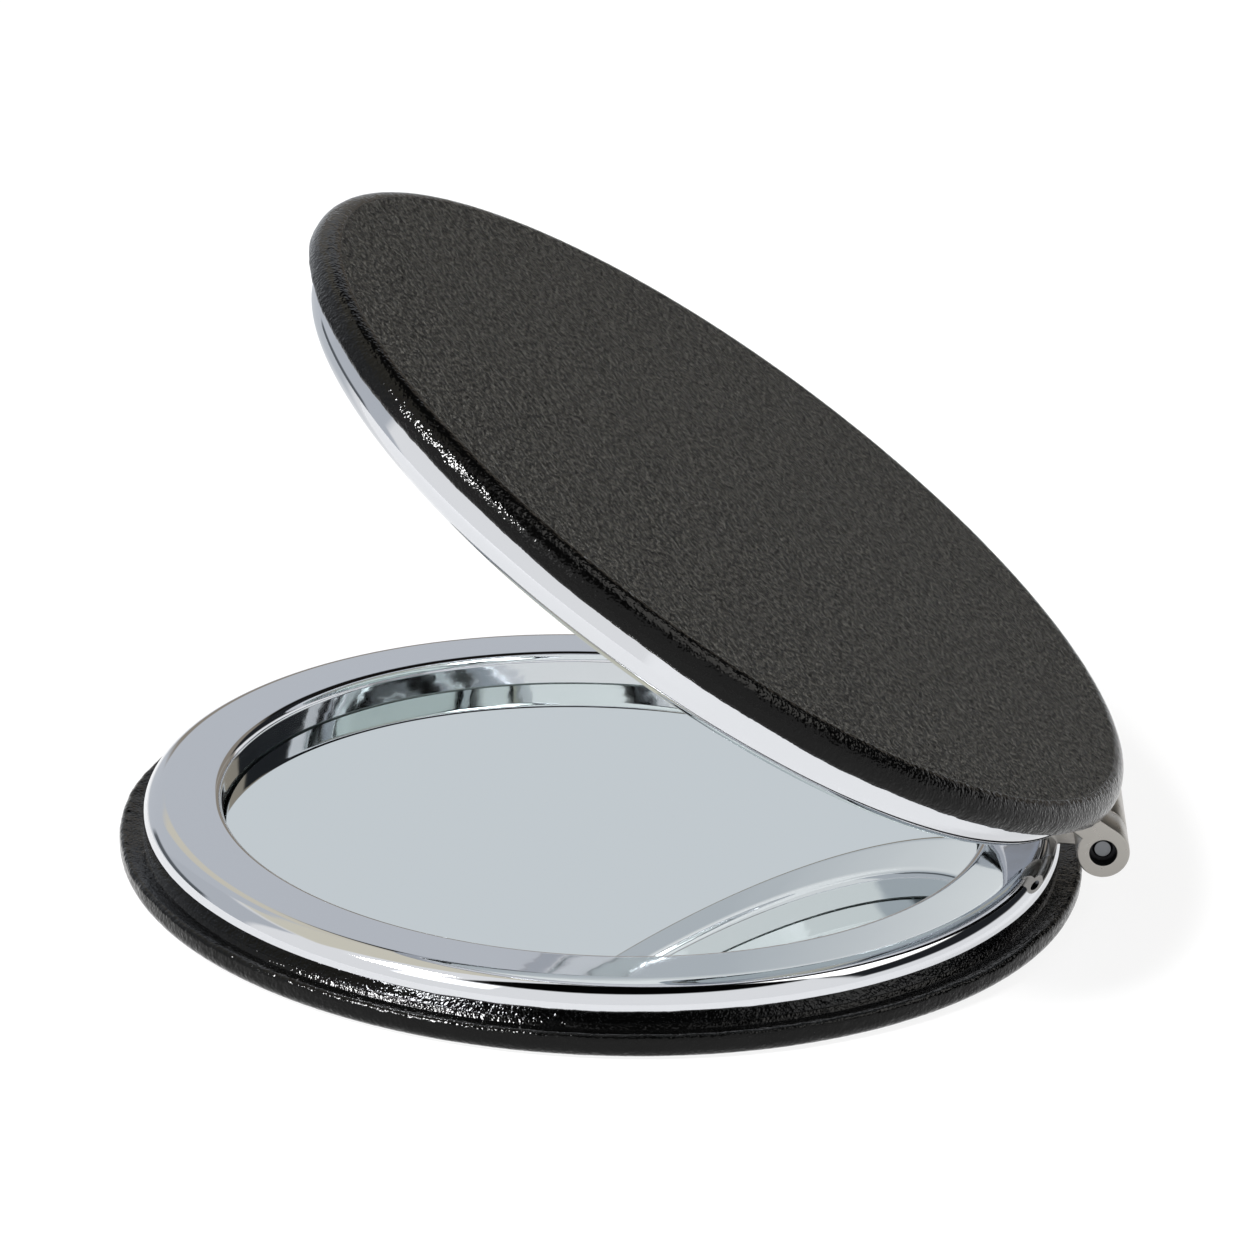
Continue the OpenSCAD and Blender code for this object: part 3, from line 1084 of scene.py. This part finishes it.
hingeSettings = {
    # how far out the pin's axis and the castings' roots lie
    "axis": 34.0,
    "root": 28.6,
    "barrelRadius": 1.8,
    # heights from the axis: the top at the root, and the underside of the base's tongue
    "flatTop": -0.11,
    "tongueUnder": -0.95,
    # widths along the axis: half the knuckle's, and where each lug begins and ends
    "knuckleHalf": 3.2,
    "knuckleBore": 0.73,
    "lugFrom": 3.39,
    "lugTo": 6.6,
    "pinBore": 0.7,
    "sinkRadius": 0.93,
    "sinkDepth": 0.95,
    # the sink's rounded mouth: depth, and how much wider it is there
    "sinkMouth": ((0, 0.1), (0, 0.06), (0.02, 0.02), (0.07, 0)),
    "boreBreak": 0.04,
    # the bores' painted shade reaches this share of the sink's radius
    "boreReach": 1.03,
    "bevel": 0.1,
    # share of the bevel at which it is rounded by one more row
    "bevelShare": 0.3,
    # a narrow strip beside each bevel keeps the end faces' shading flat
    "flatStrip": 0.05,
    "barrelSteps": 96,
    "sideSteps": 16,
    "sharpFrom": 35,
}


def hingeOutline(under, inset):
    # x and z from the pin's axis, drawn in by the bevel's inset: round the barrel, along
    # the block's top to its root, down there and back along its underside
    s = hingeSettings
    r, root = s["barrelRadius"] - inset, s["root"] - s["axis"] + inset
    low, top = under + inset, -inset
    lowAngle = 180 + math.degrees(math.asin(min(-low / r, 1)))
    topAngle = 180 - math.degrees(math.asin(top / r))
    barrel = arc((0, 0), r, lowAngle - 360, topAngle, s["barrelSteps"])
    corners = [barrel[-1], (root, s["flatTop"] - inset), (root, low), barrel[0]]
    shares = np.linspace(0, 1, s["sideSteps"] + 1)
    sides = [
        [(x0 + (x1 - x0) * t, z0 + (z1 - z0) * t) for t in shares]
        for (x0, z0), (x1, z1) in zip(corners, corners[1:])
    ]
    return np.array(barrel + sides[0][1:] + sides[1][1:] + sides[2][1:-1])


def boredBlock(name, body, under, sections):
    # each section: its y, the outline's inset there, and the radius where it is a bore
    s = hingeSettings
    turns = np.linspace(0, 2 * math.pi, len(hingeOutline(under, 0)), endpoint=False)
    circle = np.stack([np.cos(turns), np.sin(turns)], axis=1)
    loops = []
    for y, inset, bore in sections:
        flat = circle * bore if bore else hingeOutline(under, inset)
        along = np.full(len(flat), y)
        loops.append(np.stack([s["axis"] + flat[:, 0], along, flat[:, 1]], axis=1))
    flatRows = [
        row for row, (here, after) in enumerate(zip(sections, sections[1:] + sections[:1]))
        if here[0] == after[0] and bool(here[2]) != bool(after[2])
    ]
    return closedLoops(name, np.array(loops), body, flatRows)


def hingeCastings():
    s = hingeSettings

    def bevelled(low, high):
        # the outline from one end face to the other, with a rounded bevel at each
        b, part = s["bevel"], s["bevel"] * s["bevelShare"]
        strip = b + s["flatStrip"]
        return [
            (low, strip, 0), (low, b, 0), (low + part, part, 0), (low + b, 0, 0),
            ((low + high) / 2, 0, 0),
            (high - b, 0, 0), (high - part, part, 0), (high, b, 0), (high, strip, 0),
        ]

    half, bore, edge = s["knuckleHalf"], s["knuckleBore"], s["boreBreak"]
    knuckle = boredBlock(
        "base_hinge_knuckle", "base", s["tongueUnder"],
        [(-half, 0, bore + edge)] + bevelled(-half, half) + [
            (half, 0, bore + edge), (half - edge, 0, bore), (-half + edge, 0, bore),
        ],
    )
    near, far, sink = s["lugFrom"], s["lugTo"], s["sinkRadius"]
    sections = [(near, 0, s["pinBore"])] + bevelled(near, far)
    sections += [(far - deep, 0, sink + wider) for deep, wider in s["sinkMouth"]]
    sections += [(far - s["sinkDepth"], 0, sink), (far - s["sinkDepth"], 0, s["pinBore"])]
    # drawn mirrored, the far lug would be inside out, which faceOutwards mends below
    lugs = [
        boredBlock(
            "lid_hinge_lug_" + name, "lid", -s["barrelRadius"],
            [(side * y, inset, bore) for y, inset, bore in sections],
        )
        for name, side in (("far", -1), ("near", 1))
    ]
    for piece in [knuckle] + lugs:
        faceOutwards(piece.data)
        sharpenEdges(piece.data, s["sharpFrom"])
        body = "base" if piece is knuckle else "lid"
        piece.data.materials.append(tumbled)
        piece.data.materials.append(boreShadeMetal)
        # the second material paints the shade inside the bores as dark metal
        axis = places[body] @ Vector((s["axis"], 0, 0))
        for polygon in piece.data.polygons:
            away = axis - polygon.center
            away.y = 0
            inBore = away.length < s["sinkRadius"] * s["boreReach"] * mm
            polygon.material_index = 1 if inBore else 0
        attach(piece, body)
        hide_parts(body + "_case")


def faceOutwards(mesh):
    shape = bmesh.new()
    shape.from_mesh(mesh)
    bmesh.ops.recalc_face_normals(shape, faces=shape.faces)
    shape.to_mesh(mesh)
    shape.free()


def sharpenEdges(mesh, degrees):
    shape = bmesh.new()
    shape.from_mesh(mesh)
    for edge in shape.edges:
        edge.smooth = edge.calc_face_angle(0) < math.radians(degrees)
    shape.to_mesh(mesh)
    shape.free()


hingeCastings()
print("hinge castings bored")


# Foam pads, cut round and pressed flat between leather and plate

foamSettings = {
    "segments": 256,
    "faceSteps": 12,
    "roundSteps": 8,
    "backSteps": 10,
    # the back's rows start at this share of the plate's radius
    "backFrom": 0.99,
    "clearance": 0.01,
    "belowPlateTop": 0.02,
}


def foamPad(body):
    cover, s = coverSettings, foamSettings
    thick, gap = cover["foam"][body], s["clearance"]
    low, plateRadius = cover["plateLow"], cover["plateRadius"]
    edge = cover["outerRadius"] - cover["leatherThickness"] - thick
    face = [
        (edge * t, low - thick + gap) for t in np.linspace(0, 1, s["faceSteps"])[:-1]
    ]
    roll = arc((edge, low), thick - gap, -90, 0, s["roundSteps"])
    lip = [
        (plateRadius + gap, cover["plateTop"] - s["belowPlateTop"]),
        (plateRadius + gap, low - gap),
    ]
    back = [
        (plateRadius * t, low - gap) for t in np.linspace(s["backFrom"], 0, s["backSteps"])
    ]
    outline = np.array(face + roll + lip + back)
    swell = cover["crown"][body] * np.clip(1 - (outline[:, 0] / edge) ** 2, 0, 1)
    outline[:len(face), 1] -= swell[:len(face)]
    pad = turnedOutline(body + "_pad_foam", outline, s["segments"], body)
    pad.data.materials.append(materials["pad_foam"])
    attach(pad, body)
    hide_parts(body + "_foam")


for body in ("base", "lid"):
    foamPad(body)
print("foam pads cut")


# Mirrors, with a fine ground bevel round each edge

mirrorSettings = {
    "radius": 25.87,
    "back": -3.1,
    "face": -2.3,
    "bevel": 0.08,
    "segments": 1024,
    # a face is silvered where its direction's cosine to the disc's own is above this
    "silveredFrom": 0.99,
}


def mirrorDisc(body):
    s = mirrorSettings
    r, b = s["radius"], s["bevel"]
    back, face = s["back"], s["face"]
    outline = np.array([
        (0, back), (r * 0.5, back), (r - b, back), (r, back + b),
        (r, face - b), (r - b, face), (r * 0.5, face), (0, face),
    ])
    disc = turnedOutline(body + "_silvered_mirror", outline, s["segments"], body)
    disc.data.materials.append(materials["mirror_glass"])
    disc.data.materials.append(groundEdge)
    level = places[body].to_3x3() @ Vector((0, 0, 1))
    for polygon in disc.data.polygons:
        flat = abs(polygon.normal.dot(level.normalized())) > s["silveredFrom"]
        polygon.use_smooth = False
        polygon.material_index = 0 if flat else 1
    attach(disc, body)
    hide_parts(body + "_mirror")


for body in ("base", "lid"):
    mirrorDisc(body)
print("mirrors set")
